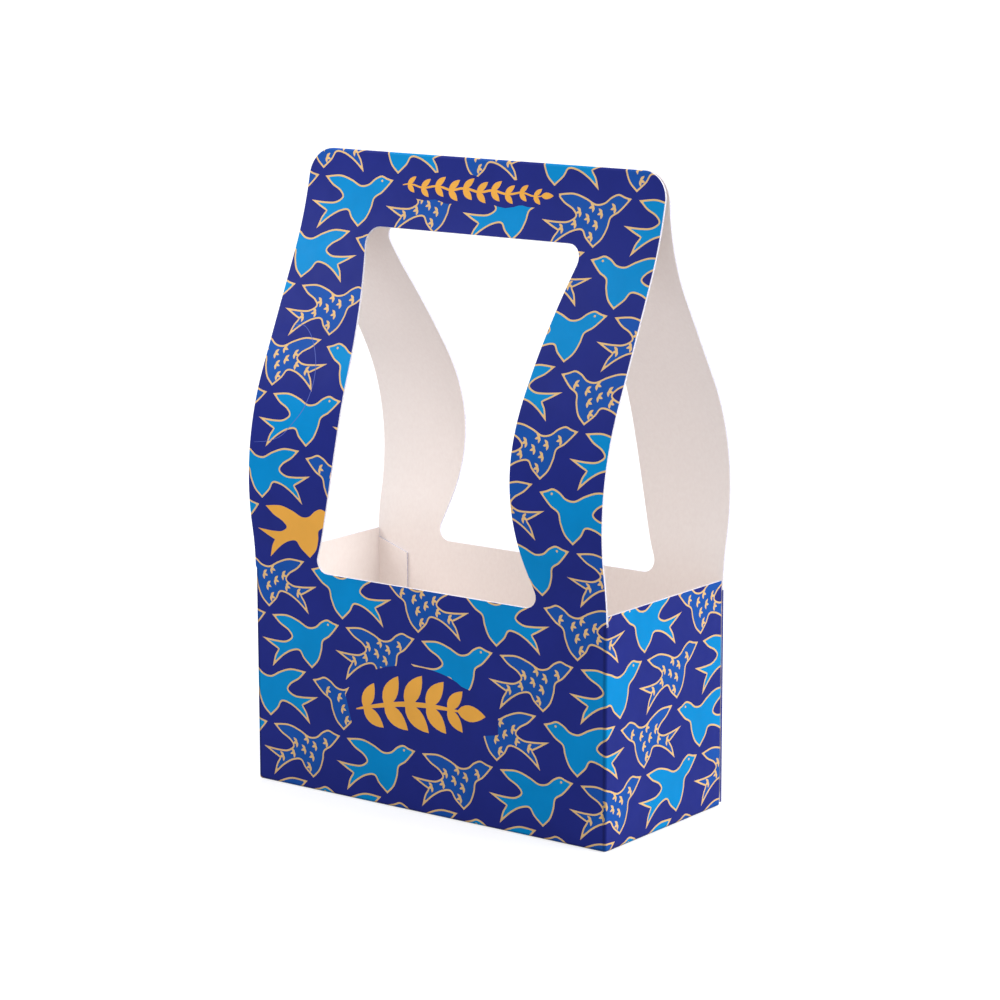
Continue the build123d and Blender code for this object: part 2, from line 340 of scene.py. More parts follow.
@dataclass
class FoldedSheet:
    """Carries points of the flat sheet to their places on the folded carrier.

    Flat coordinates: u runs across the front wall, v up it and is the height there; v goes on over
    the top fold and down the rear panel. The side walls lie flat at both ends of the front wall.
    """

    sizes: CarrierSizes
    rise_samples: int = 20000

    def __post_init__(self) -> None:
        """Works out both panels and the side walls' floor flap."""
        sizes, upright = self.sizes, -pi / 2
        inner = sizes.half_depth - sizes.board
        self.front = PanelPath(sizes, sizes.front_bow, Station(sizes.flap_clearance - inner, 0.0, upright))
        rear_edge = Station(sizes.half_depth - sizes.rear_flap_depth, sizes.lift, upright)
        self.rear = PanelPath(sizes, sizes.rear_bow, rear_edge)
        self.bottom = self.front.wall_height - self.front.wall_start
        self.top = self.bottom + self.front.length
        self.end = self.top + self.rear.length

        step = sizes.step_runs()
        bent = BoardPath(Station(0.0, 0.0, upright), [*step, (sizes.quarter, pi / 2)])
        flap_edge = Station(sizes.half_width - sizes.side_flap_length, sizes.lift, upright)
        self.step_reach = bent.stations[-1].out
        level_run = sizes.side_flap_length - self.step_reach
        self.side_flap = BoardPath(flap_edge, [(level_run, 0.0), *step, (sizes.quarter, pi / 2)])
        self.side_start = sizes.crease_radius
        self.wall_run = sizes.depth - 2 * sizes.crease_radius - sizes.board - sizes.glue_line
        self.wall_end = sizes.flat_half + sizes.quarter + self.wall_run
        self.tab_start = self.wall_end + sizes.quarter

    def across(self, depth_place: float) -> float:
        """Gives the flat u of a place on the side wall, from its y."""
        sizes = self.sizes
        return sizes.flat_half + sizes.quarter + depth_place + sizes.half_depth - sizes.crease_radius

    def rise(self, height: float, rear: bool = False) -> float:
        """Gives the flat v of a height on a tall panel, above its bottom crease.

        Args:
            height: Height above the floor.
            rear: Whether the rear panel is meant.

        Returns:
            The flat v.
        """
        path = self.rear if rear else self.front
        along = np.linspace(path.wall_start, path.length, self.rise_samples)
        place = float(np.interp(height, path.at(along)[1], along))
        return self.end - place if rear else self.bottom + place

    def _panel(self, u: Points, v: Points) -> tuple[Points, Points]:
        """Places points of the tall panels and their flaps.

        Args:
            u: Distances from the middle.
            v: Flat heights.

        Returns:
            Points and normals of the printed face.
        """
        point, normal = np.zeros((len(u), 3)), np.zeros((len(u), 3))
        for path, along, facing, here in (
                (self.front, v - self.bottom, -1.0, v <= self.top),
                (self.rear, self.end - v, 1.0, v > self.top)):
            out, up, lean = path.at(along[here])
            point[here] = rows(u[here], facing * out, up)
            normal[here] = rows(0.0, facing * np.cos(lean), np.sin(lean))
        return point, normal

    def _curl(self, v: Points) -> Points:
        """Gives how far a corner's crease is bent at a height: wholly below a slit, not at all above it."""
        share = np.clip((v - self.sizes.slit_foot) / self.sizes.slit_curl, 0, 1)
        return np.maximum(1 - share * share * (3 - 2 * share), FLAT)

    def place(self, flat: Points) -> tuple[Points, Points]:
        """Gives the printed face's points and outward normals for points of the flat sheet.

        Args:
            flat: Rows of (u, v).

        Returns:
            Points and normals, rows of (x, y, z).
        """
        sizes, radius = self.sizes, self.sizes.crease_radius
        hand = np.where(flat[:, 0] < 0, -1.0, 1.0)
        reach, v = np.abs(flat[:, 0]), flat[:, 1]
        past = reach - sizes.flat_half
        point, normal = self._panel(np.minimum(reach, sizes.flat_half), v)

        beside_wall = (reach <= sizes.half_width + CLOSE) & (v > sizes.slit_foot)
        strap = (past > 0) & ((v > self.box_top) | beside_wall)
        bend = np.where(v > self.top, FLAT, self._curl(v)) / radius
        angle = past * bend
        along, inward = np.sin(angle) / bend, (1 - np.cos(angle)) / bend
        point[strap] -= (normal * inward[:, None])[strap]
        point[strap, 0] += along[strap]
        normal[strap] = (normal * np.cos(angle)[:, None] + rows(np.sin(angle), 0.0, 0.0))[strap]

        wing = (past > 0) & ~strap
        if wing.any():
            point[wing], normal[wing] = self._wing(past[wing], v[wing])
        point[:, 0] *= hand
        normal[:, 0] *= hand
        return point, normal / np.linalg.norm(normal, axis=1, keepdims=True)

    def painted_shade(self, flat: Points, point: Points) -> Points:
        """Tells how much painted shade darkens the ink along the corner creases, and painted contact shadow
        along the foot.

        Args:
            flat: Rows of (u, v).
            point: The same points' places on the carrier.

        Returns:
            A share from 0 to 1 for each point.
        """
        sizes = self.sizes
        past = np.abs(flat[:, 0]) - sizes.flat_half
        places = [-sizes.crease_shade_reach, 0.0, sizes.quarter / 2, sizes.quarter]
        # painted crease shade, deepest where the crease begins
        corner = np.interp(past, places, [0, 1, sizes.crease_shade_end, 0])
        corner[flat[:, 1] > sizes.slit_foot] = 0
        # painted contact shadow, deepest where the board meets the floor
        foot = np.clip((sizes.foot_shade_reach - point[:, 2]) / sizes.foot_shade_reach, 0, 1)
        return np.maximum(corner, foot)

    @property
    def box_top(self) -> float:
        """Flat v above which nothing but the tall panels is left."""
        return self.sizes.side_height + 2 * CLOSE

    def _wing(self, past: Points, v: Points) -> tuple[Points, Points]:
        """Places points of a side wall, its corner creases, its floor flap and its glue tab.

        Args:
            past: Distances past the front wall's flat part.
            v: Flat heights.

        Returns:
            Points and normals of the printed face.
        """
        sizes, radius, quarter = self.sizes, self.sizes.crease_radius, self.sizes.quarter
        corner = np.clip(past, 0, quarter) / radius
        along = np.clip(past - quarter, 0, self.wall_run)
        x = sizes.flat_half + radius * np.sin(corner)
        y = -(sizes.half_depth - radius) - radius * np.cos(corner) + along
        normal = rows(np.sin(corner), -np.cos(corner), 0.0)

        bend = np.where(v > sizes.slit_foot, self._curl(v), 1.0) / radius
        turn = np.clip(past - quarter - self.wall_run, 0, quarter) * bend
        tab = turn > 0
        x = np.where(tab, x - (1 - np.cos(turn)) / bend, x)
        y = np.where(tab, y + np.sin(turn) / bend, y)
        x -= np.maximum(past - 2 * quarter - self.wall_run, 0)
        normal[tab] = rows(np.cos(turn), np.sin(turn), 0.0)[tab]

        point = rows(x, y, v)
        low = v < self.side_start
        out, up, lean = self.side_flap.at(self.side_flap.length - (self.side_start - v[low]))
        point[low] -= normal[low] * (sizes.half_width - out)[:, None]
        point[low, 2] = up
        normal[low] = normal[low] * np.cos(lean)[:, None] + rows(0.0, 0.0, np.sin(lean))
        return point, normal


def mirrored(points: Points) -> Points:
    """Gives the points on the other hand of the sheet, in reversed order."""
    return (points * [-1, 1])[::-1]


def arc(centre: Spot, radius: float, start: float, end: float, parts: int) -> Points:
    """Gives the points of an arc from one angle to another, in radians, divided into equal parts."""
    angle = np.linspace(start, end, parts + 1)
    return rows(centre[0] + radius * np.cos(angle), centre[1] + radius * np.sin(angle))


@dataclass
class SheetCut:
    """The outline of the flat sheet, its two windows, and the lines along which it bends."""

    fold: FoldedSheet
    gentle_step: float = 4.0          # longest chord of a gentle bend; the rest are numbers of chords
    crease_parts: int = 6
    curl_parts: int = 4
    top_corner_parts: int = 14
    window_corner_parts: int = 7
    lower_side_parts: int = 16
    upper_side_parts: int = 20
    loops: list[Points] = field(init=False)

    def __post_init__(self) -> None:
        """Draws the outline and both windows."""
        right = self._right_side()
        self.loops = [np.vstack([right, mirrored(right)]), self._window(False), self._window(True)]

    def _right_side(self) -> Points:
        """Draws the outline's right half.

        Returns:
            Its points, from the front flap's free edge to the rear flap's.
        """
        fold, sizes = self.fold, self.fold.sizes
        flat, half = sizes.flat_half, sizes.half_width
        start, foot = sizes.edge_lift, sizes.slit_foot
        flap_front = fold.across(-(sizes.half_depth - sizes.board) + sizes.flap_clearance)
        flap_rear = fold.across(sizes.half_depth - sizes.rear_flap_depth - sizes.flap_clearance)
        front_root = fold.side_start - sizes.quarter
        front_half = sizes.half_width - fold.step_reach - sizes.step_clearance
        flap_edge = fold.side_start - fold.side_flap.length
        flap_root = flap_edge + fold.side_flap.starts[1]
        tab_foot = 2 * sizes.board + sizes.tab_lift
        tab_edge = fold.tab_start + sizes.tab_width
        lip_front = fold.across(-(sizes.half_depth - sizes.board - sizes.slit_width))
        lip_rear = fold.wall_end + sizes.slit_width
        box = [
            (front_half, fold.bottom), (front_half, front_root), (flat, front_root), (flat, start),
            (flap_front, start), (flap_front, flap_root),
            (flap_front + sizes.side_flap_taper, flap_edge), (flap_rear - sizes.side_flap_taper, flap_edge),
            (flap_rear, flap_root), (flap_rear, start), (lip_rear, start), (lip_rear, tab_foot),
            (fold.tab_start, tab_foot),
            (tab_edge, tab_foot + sizes.tab_taper), (tab_edge, foot - sizes.tab_taper),
            (fold.tab_start, foot), (lip_rear, foot), (lip_rear, sizes.side_height),
            (lip_front, sizes.side_height), (lip_front, foot), (half, foot),
        ]
        rear_foot = fold.end - fold.rear.wall_start + sizes.quarter / 2
        rear_flap = [(half, rear_foot), (flat, rear_foot), (flat, fold.end)]
        return np.vstack([box, self._top_corner(), rear_flap])

    def _top_corner(self) -> Points:
        """Draws the rounded corner beside the top fold, on both panels.

        Returns:
            Its points, from the front panel to the rear one.
        """
        fold, sizes = self.fold, self.fold.sizes
        radius = sizes.top_corner_radius
        centre = (sizes.half_width - radius, sizes.height - radius)
        corner = arc(centre, radius, 0, pi / 2, self.top_corner_parts)
        front, rear = (
            np.array([(x, fold.rise(z, behind)) for x, z in corner[:-1]]) for behind in (False, True))
        return np.vstack([front, [(corner[-1][0], fold.top)], rear[::-1]])

    def _window(self, rear: bool) -> Points:
        """Draws one window: waisted sides, a straight sill and head, and rounded corners.

        Args:
            rear: Whether it is the rear panel's.

        Returns:
            Its outline.
        """
        fold, sizes = self.fold, self.fold.sizes
        waist_x, waist_z = sizes.window_waist_width / 2, sizes.window_waist_height
        top, sill = sizes.height - sizes.bar_depth, sizes.window_sill_height
        ends = []
        for corner_x, edge, corner, parts in (
                (sizes.window_sill_width / 2, sill, sizes.window_sill_corner, self.lower_side_parts),
                (sizes.window_top_width / 2, top, sizes.window_top_corner, self.upper_side_parts)):
            rise, run = edge - waist_z, corner_x - waist_x
            radius = (run * run + rise * rise) / (2 * run)
            centre_x = waist_x + radius
            way = 1.0 if rise > 0 else -1.0
            level = edge - way * corner
            spread = sqrt((radius + corner) ** 2 - (level - waist_z) ** 2)
            tilt = np.arctan2(level - waist_z, -spread)
            side = arc((centre_x, waist_z), radius, tilt, way * pi, parts)
            bend = arc((centre_x - spread, level), corner, tilt - way * pi, way * pi / 2,
                       self.window_corner_parts)
            ends.append(np.vstack([bend[::-1], side[1:]]))
        right = np.vstack([ends[0], ends[1][::-1][1:]])
        outline = np.vstack([right, mirrored(right)])
        return np.array([(x, fold.rise(z, rear)) for x, z in outline])

    def bend_lines(self) -> list[Points]:
        """Gives the lines along which the face has to be divided.

        Returns:
            The lines, each of two points.
        """
        fold, sizes = self.fold, self.fold.sizes
        half, flat, foot = sizes.half_width, sizes.flat_half, sizes.foot_shade_reach
        lines: list[tuple[float, float, float, float]] = []
        front = [fold.bottom + place for place in fold.front.bends(self.gentle_step, self.crease_parts)]
        rear = [fold.end - place for place in fold.rear.bends(self.gentle_step, self.crease_parts)]
        for level in front + rear:
            reach = flat if level < fold.side_start else half
            lines.append((-reach, level, reach, level))
        rear_foot = fold.end - fold.rear.wall_start - (foot - fold.rear.wall_height)
        lines += [(-half, level, half, level) for level in (fold.top, rear_foot)]

        creases = np.linspace(0, sizes.quarter, self.crease_parts + 1)
        curl = sizes.slit_foot + sizes.slit_curl * np.linspace(0, 1, self.curl_parts + 1)
        # the face is divided where the painted crease shade begins, and at the top of the painted contact
        # shadow
        crease_shade_start, flap_rear = flat - sizes.crease_shade_reach, fold.across(sizes.half_depth)
        for hand in (-1, 1):
            lines.append((0.0, foot, hand * flap_rear, foot))
            lines.append((hand * crease_shade_start, foot, hand * crease_shade_start, sizes.slit_foot))
            for place in creases:
                for base in (flat, fold.wall_end):
                    u = hand * (base + place)
                    lines.append((u, sizes.edge_lift, u, sizes.side_height))
            for place in fold.side_flap.bends(self.gentle_step, self.crease_parts):
                level = fold.side_start - fold.side_flap.length + place
                lines.append((hand * flat, level, hand * flap_rear, level))
            for level in curl:
                lines.append((hand * flat, level, hand * half, level))
                lines.append((hand * fold.wall_end, level, hand * fold.tab_start, level))
        return [np.array([line[:2], line[2:]]) for line in lines]

    def inside(self, points: Points) -> np.ndarray:
        """Tells which flat points lie on the sheet, not outside it or in a window."""
        return np.logical_xor.reduce([inside(loop, points) for loop in self.loops])


def turned(points: Points, turn: float, at: Spot, flip: bool = False) -> Points:
    """Turns points by degrees about the origin and moves them, mirrored from left to right if asked."""
    c, s = cos(radians(turn)), sin(radians(turn))
    return (mirrored(points) if flip else points) @ np.array([[c, s], [-s, c]]) + at


def inside(outline: Points, points: Points) -> np.ndarray:
    """Tells which points lie inside a closed outline.

    Args:
        outline: Rows of (x, y) round the outline.
        points: Rows of (x, y).

    Returns:
        True for each point inside.
    """
    x, y = points.T
    held = np.zeros(len(points), bool)
    for (x0, y0), (x1, y1) in zip(outline, np.roll(outline, -1, 0)):
        if y0 != y1:
            held ^= ((y0 > y) != (y1 > y)) & (x < x0 + (y - y0) * (x1 - x0) / (y1 - y0))
    return held


def clearance(outline: Points, points: Points) -> Points:
    """Gives each point's distance to a closed outline.

    Args:
        outline: Rows of (x, y) round the outline.
        points: Rows of (x, y).

    Returns:
        One distance for each point.
    """
    way = (np.roll(outline, -1, 0) - outline)[None]
    offset = points[:, None] - outline[None]
    share = np.clip((offset * way).sum(2) / np.maximum((way * way).sum(2), CLOSE ** 2), 0, 1)
    return np.linalg.norm(offset - way * share[..., None], axis=2).min(1)


def thinned(outline: Points, tolerance: float, fewest: int = 6) -> Points:
    """Drops points of a closed outline that hardly change its shape.

    Args:
        outline: Rows of (x, y) round the outline.
        tolerance: Greatest height over the chord of its neighbours at which a point is dropped.
        fewest: Number of points that are always left.

    Returns:
        The points that are left.
    """
    kept = list(range(len(outline)))
    while len(kept) > fewest:
        ring = outline[kept]
        before = np.roll(ring, 1, 0)
        way, offset = np.roll(ring, -1, 0) - before, ring - before
        height = np.abs(way[:, 0] * offset[:, 1] - way[:, 1] * offset[:, 0])
        height /= np.linalg.norm(way, axis=1)
        if height.min() > tolerance:
            break
        kept.pop(int(height.argmin()))
    return outline[kept]


def span(spots: Points, parts: int) -> Points:
    """Draws one span of a smooth curve through points (a centripetal Catmull-Rom span).

    Args:
        spots: Four points: the one before the span, its two ends and the one after it.
        parts: Number of points to draw, the last end left out.

    Returns:
        Rows of (x, y).
    """
    knots = np.cumsum([0.0, *(sqrt(np.linalg.norm(spots[i + 1] - spots[i])) for i in range(3))])
    t = np.linspace(knots[1], knots[2], parts, endpoint=False)[:, None]
    for ends in (((0, 1), (1, 2), (2, 3)), ((0, 2), (1, 3)), ((1, 2),)):
        spots = [((knots[last] - t) * spots[i] + (t - knots[first]) * spots[i + 1])
                 / (knots[last] - knots[first]) for i, (first, last) in enumerate(ends)]
    return spots[0]


def smooth_outline(controls: Points, parts: int = 9) -> Points:
    """Draws a smooth closed outline through control points, with a corner at each sharp one.

    Args:
        controls: Rows of (x, y, sharp), where sharp is 1 at a corner.
        parts: Points to each span.

    Returns:
        The outline.
    """
    spots, sharp = controls[:, :2], controls[:, 2] > 0
    count, drawn = len(spots), []
    for i in range(count):
        first, last = spots[i], spots[(i + 1) % count]
        before = 2 * first - last if sharp[i] else spots[i - 1]
        after = 2 * last - first if sharp[(i + 1) % count] else spots[(i + 2) % count]
        drawn.append(span([before, first, last, after], parts))
    return np.vstack(drawn)


def smooth_path(spots: Points, parts: int = 3) -> Points:
    """Draws a smooth open path through points, each span in so many parts."""
    ends = np.vstack([2 * spots[0] - spots[1], spots, 2 * spots[-1] - spots[-2]])
    return np.vstack([*(span(ends[i:i + 4], parts) for i in range(len(spots) - 1)), spots[-1]])


def stroke(path: Points, width: float, tip: float, swell: float = 0.6) -> Points:
    """Draws a stroke of a pen along a path.

    Args:
        path: Rows of (x, y).
        width: Width in the middle.
        tip: Width at both ends.
        swell: How gradually it widens; a small value gives blunt ends.

    Returns:
        The stroke's closed outline.
    """
    share = np.linspace(0, 1, len(path))[:, None]
    half = (tip + (width - tip) * np.sin(pi * share) ** swell) / 2
    left = left_of(np.gradient(path, axis=0)) * half
    return np.vstack([path - left, (path + left)[::-1]])


def leaf(length: float, width: float, parts: int = 7, fullness: float = 0.85) -> Points:
    """Draws a pointed leaf from its stalk at the origin along +x.

    Args:
        length: Its length.
        width: Its greatest width.
        parts: Chords to each side.
        fullness: Power of its swelling; a small value makes it fuller and widest near its stalk.

    Returns:
        Its outline.
    """
    share = np.linspace(0, 1, parts + 1)
    swell = width / 2 * np.sin(pi * share ** fullness) ** fullness
    upper = rows(length * share, swell)
    return np.vstack([upper * [1, -1], upper[1:-1][::-1]])


@dataclass(frozen=True)
class Shape:
    """An inked area of the flat sheet, cut off at another outline; a later one covers an earlier one."""

    outline: Points
    face: Face
    within: Points | None = None
    rear: bool = False                # printed beyond the top fold only, otherwise only before it

    def moved(self, turn: float, at: Spot, flip: bool = False) -> "Shape":
        """Gives the shape turned by degrees and moved, mirrored from left to right first if asked."""
        within = None if self.within is None else turned(self.within, turn, at, flip)
        return replace(self, outline=turned(self.outline, turn, at, flip), within=within)


@dataclass(frozen=True)
class Swallow:
    """The bird of the print, gliding to the left round the origin."""

    scale: float = 0.92
    line_width: float = 0.7
    eye: Spot = (-16.0, 2.3)
    eye_radius: float = 0.5
    eye_parts: int = 8
    tolerance: float = 0.025
    inset_parts: int = 4
    inset_share: float = 0.985        # share of the line's width by which its fill's points are clear
    plume_length: float = 2.5
    plume_width: float = 1.15
    plume_parts: int = 4
    plume_spread: float = 60.0
    plume_pitch: float = 6.2
    plume_row: float = 3.7
    plume_drop: float = 0.4
    plume_rows: range = range(-5, 6)
    plume_places: range = range(-6, 7)
    plume_share: float = 0.75         # least share of a tuft on the bird, or it is left out

    def outline(self) -> Points:
        """Draws its outline.

        Returns:
            Rows of (x, y).
        """
        controls = np.array([
            (-22.0, 0.6, 1), (-19.2, 2.4, 0), (-16.4, 4.6, 0), (-12.6, 4.6, 0), (-8.6, 3.4, 0),
            (-4.6, 4.2, 0), (-0.5, 8.2, 0), (5.0, 12.2, 0), (13.5, 14.6, 1), (10.8, 9.6, 0),
            (7.2, 5.4, 0), (6.4, 2.6, 0), (10.0, 1.6, 0), (15.0, 3.0, 0), (23.0, 6.6, 1),
            (18.6, 1.6, 0), (16.2, -0.8, 1), (19.0, -2.8, 0), (22.4, -7.2, 1), (14.6, -4.4, 0),
            (8.6, -3.6, 0), (4.6, -4.6, 0), (3.6, -8.2, 0), (0.6, -13.6, 1), (-4.4, -11.4, 0),
            (-8.2, -7.4, 0), (-10.4, -4.0, 0), (-14.6, -3.0, 0), (-18.2, -1.4, 0)])
        return thinned(smooth_outline(controls)[::-1] * self.scale, self.tolerance)

    def inset(self, width: float) -> Points:
        """Draws the outline of what lies further inside than a width.

        Args:
            width: Distance from the bird's outline.

        Returns:
            The inner outline.
        """
        outline = self.outline()
        fine = smooth_outline(np.column_stack([outline, np.ones(len(outline))]), self.inset_parts)
        moved = fine + left_of(np.roll(fine, -1, 0) - np.roll(fine, 1, 0)) * width
        kept = moved[(clearance(fine, moved) > width * self.inset_share) & inside(fine, moved)]
        return thinned(kept, self.tolerance)

    def plumes(self, fill: Points) -> list[Shape]:
        """Gives the tufts of three small leaves that cover it in staggered rows.

        Args:
            fill: The outline that they are cut off at.

        Returns:
            Their leaves.
        """
        blade = leaf(self.plume_length, self.plume_width, self.plume_parts)
        drawn = []
        for row in self.plume_rows:
            for place in self.plume_places:
                spot = ((place + row % 2 / 2) * self.plume_pitch, row * self.plume_row - self.plume_drop)
                tuft = [turned(blade, way * self.plume_spread, spot) for way in (-1, 0, 1)]
                if inside(fill, np.vstack(tuft)).mean() >= self.plume_share:
                    drawn += [Shape(outline, Face.LINE, fill) for outline in tuft]
        return drawn

    def shapes(self, ink: Face) -> list[Shape]:
        """Gives the bird in one of its three dresses.

        Args:
            ink: Azure for a plain bird with an eye, royal for one with plumes, or gold for a solid one.

        Returns:
            Its shapes, in the order in which they cover each other.
        """
        if ink is Face.GOLD:
            return [Shape(self.outline(), Face.GOLD)]
        fill = self.inset(self.line_width)
        body = [Shape(self.outline(), Face.LINE), Shape(fill, ink)]
        if ink is Face.ROYAL:
            return body + self.plumes(fill)
        across, up = (self.scale * place for place in self.eye)
        eye = arc((across, up), self.eye_radius, 0, 2 * pi, self.eye_parts)[:-1]
        return [*body, Shape(eye, Face.LINE)]


@dataclass(frozen=True)
class Sprig:
    """A gold sprig of paired leaves on a curved stem, on its own patch of plain ground."""

    at: Spot
    length: float
    rise: float
    leaf_length: float
    leaf_width: float
    pairs: int
    stem_width: float
    margin: float
    spread: float = 48.0
    wave: float = 0.0
    bow: float = 0.35                 # height of the stem's bow, as a share of its rise
    first_pair: float = 0.35          # place of each pair in its share of the stem
    least_leaf: float = 0.72          # size of the leaves at the stem's ends
    leaf_swell: float = 0.28          # how much larger they are before its middle
    swell_rate: float = 1.15
    tip_leaf: float = 0.9
    tip_width: float = 0.4            # width of the stem's ends, and share of the patch's
    patch_swell: float = 0.4
    stem_points: int = 25

    def stem(self) -> Points:
        """Draws the line of its stem.

        Returns:
            Rows of (x, y).
        """
        share = np.linspace(0, 1, self.stem_points)
        height = self.rise * (share - 0.5) + self.wave * np.sin(pi * self.pairs * share)
        bow = self.rise * self.bow * np.sin(pi * share)
        return rows(self.length * (share - 0.5), height + bow) + self.at

    def leaves(self) -> list[Points]:
        """Draws its leaves, and the one at its tip.

        Returns:
            Their outlines.
        """
        stem, drawn = self.stem(), []
        places = np.linspace(0, 1, self.stem_points)
        for number in range(self.pairs):
            share = (number + self.first_pair) / self.pairs
            foot = [np.interp(share, places, stem[:, k]) for k in (0, 1)]
            lean = np.degrees(np.arctan2(self.rise * (1 + self.bow * pi * cos(pi * share)), self.length))
            size = self.least_leaf + self.leaf_swell * sin(pi * min(1.0, share * self.swell_rate))
            for hand in (-1, 1):
                shape = leaf(self.leaf_length * size, self.leaf_width * size)
                drawn.append(turned(shape, lean + hand * self.spread, foot))
        lean = np.degrees(np.arctan2(*(stem[-1] - stem[-3])[::-1]))
        shape = leaf(self.leaf_length * self.tip_leaf, self.leaf_width * self.tip_leaf)
        return [*drawn, turned(shape - [self.stem_width, 0], lean, stem[-1])]

    def patch(self) -> Points:
        """Draws the long plain patch under it, blunt at both ends.

        Returns:
            Its outline.
        """
        stem = self.stem()
        first, last = (way / np.linalg.norm(way) for way in (stem[0] - stem[1], stem[-1] - stem[-2]))
        reach = self.leaf_length * self.tip_leaf + self.margin
        path = np.vstack([stem[0] + first * self.margin, stem, stem[-1] + last * reach])
        width = 2 * (self.leaf_length * sin(radians(self.spread)) + self.margin)
        return stroke(path, width, width * self.tip_width, self.patch_swell)

    def shapes(self) -> list[Shape]:
        """Gives the plain patch and the sprig on it, in the order in which they cover each other."""
        parts = [*self.leaves(), stroke(self.stem(), self.stem_width, self.tip_width)]
        return [Shape(self.patch(), Face.GROUND), *(Shape(part, Face.GOLD) for part in parts)]


@dataclass(frozen=True)
class PrintedDesign:
    """The whole print: rows of swallows flying both ways over a plain ground, and two sprigs."""

    fold: FoldedSheet
    swallow: Swallow = Swallow()
    pitch: float = 38.44
    row_rise: float = 22.81
    stagger: float = 14.83
    first_row: float = -6.0
    rows: range = range(-2, 15)
    places: range = range(-6, 7)
    turn_left: float = -17.35
    turn_right: float = 22.02
    gold_place: int = -2
    gold_row: int = 5
    gold_rows: int = 11               # rows from one solid gold bird to the next
    bleed: float = 7.0                # how far the ink runs onto the flaps and tabs
    top_bleed: float = 5.0            # past the side walls' upper edges
    edge_bleed: float = 0.5           # past the straps' edges
    least_shown: float = 0.3          # share of a swallow that a patch leaves, or it isn't printed
    pressed_width: float = 0.3
    pressed_tip: float = 0.1
    wall_sprig: Sprig = Sprig(
        at=(-8.5, 41.0), length=53.0, rise=7.0, leaf_length=15.5, leaf_width=7.4, pairs=5,
        stem_width=2.1, margin=4.0)
    bar_sprig: Sprig = Sprig(
        at=(-4.0, 251.5), length=69.0, rise=0.0, leaf_length=6.6, leaf_width=2.9, pairs=10,
        stem_width=1.0, margin=1.5, spread=40.0, wave=0.6)

    def grounds(self) -> list[Points]:
        """Gives the areas that take ink.

        Returns:
            Two rectangles: the tall panels, and the side walls across them.
        """
        fold, low = self.fold, -self.bleed
        panels = (fold.sizes.half_width + self.edge_bleed, fold.end - fold.rear.wall_start + self.bleed)
        walls = (fold.tab_start + self.bleed, fold.sizes.side_height + self.top_bleed)
        return [np.array([(-far, low), (far, low), (far, high), (-far, high)])
                for far, high in (panels, walls)]

    def birds(self) -> list[Shape]:
        """Places the swallows over the areas that take ink.

        Returns:
            Their shapes.
        """
        dressed = {ink: self.swallow.shapes(ink) for ink in (Face.AZURE, Face.ROYAL, Face.GOLD)}
        areas = [(area.min(0), area.max(0)) for area in self.grounds()]
        patches = [sprig.patch() for sprig in (self.wall_sprig, self.bar_sprig)]
        shapes: list[Shape] = []
        for row in self.rows:
            for place in self.places:
                right = row % 2 == 1
                at = (place * self.pitch + right * self.stagger, self.first_row + row * self.row_rise)
                ink = Face.AZURE if (place + row // 2) % 2 else Face.ROYAL
                if place == self.gold_place and row % self.gold_rows == self.gold_row:
                    ink = Face.GOLD
                turn = self.turn_right if right else self.turn_left
                bird = [shape.moved(turn, at, right) for shape in dressed[ink]]
                low, high = bird[0].outline.min(0), bird[0].outline.max(0)
                covered = max(inside(patch, bird[0].outline).mean() for patch in patches)
                near = any((low < area[1]).all() and (high > area[0]).all() for area in areas)
                if near and 1 - covered >= self.least_shown:
                    shapes += bird
        return shapes

    def pressed_line(self) -> Shape:
        """Gives the fine pale line that something round has pressed into the left strap.

        Returns:
            Its shape.
        """
        path = smooth_path(np.array([
            (-76.8, 190.3), (-72.2, 190.7), (-68.2, 188.1), (-64.4, 183.3), (-61.0, 176.4),
            (-59.6, 170.7), (-59.5, 165.0), (-61.7, 156.6), (-66.7, 149.7), (-70.8, 145.2),
            (-77.0, 142.4), (-85.0, 141.0)]))
        return Shape(stroke(path, self.pressed_width, self.pressed_tip), Face.PRESSED)

    def shapes(self) -> list[Shape]:
        """Gives every shape of the print; the rear panel's are the front's, turned to stand upright.

        Returns:
            The shapes, in the order in which they cover each other.
        """
        front = [*self.birds(), *self.wall_sprig.shapes(), *self.bar_sprig.shapes()]
        half, fold_twice = self.fold.sizes.half_width, (0.0, 2 * self.fold.top)
        rear = [replace(shape.moved(180.0, fold_twice), rear=True) for shape in front
                if shape.outline[:, 0].min() < half and shape.outline[:, 0].max() > -half]
        return [*front, *rear, self.pressed_line()]


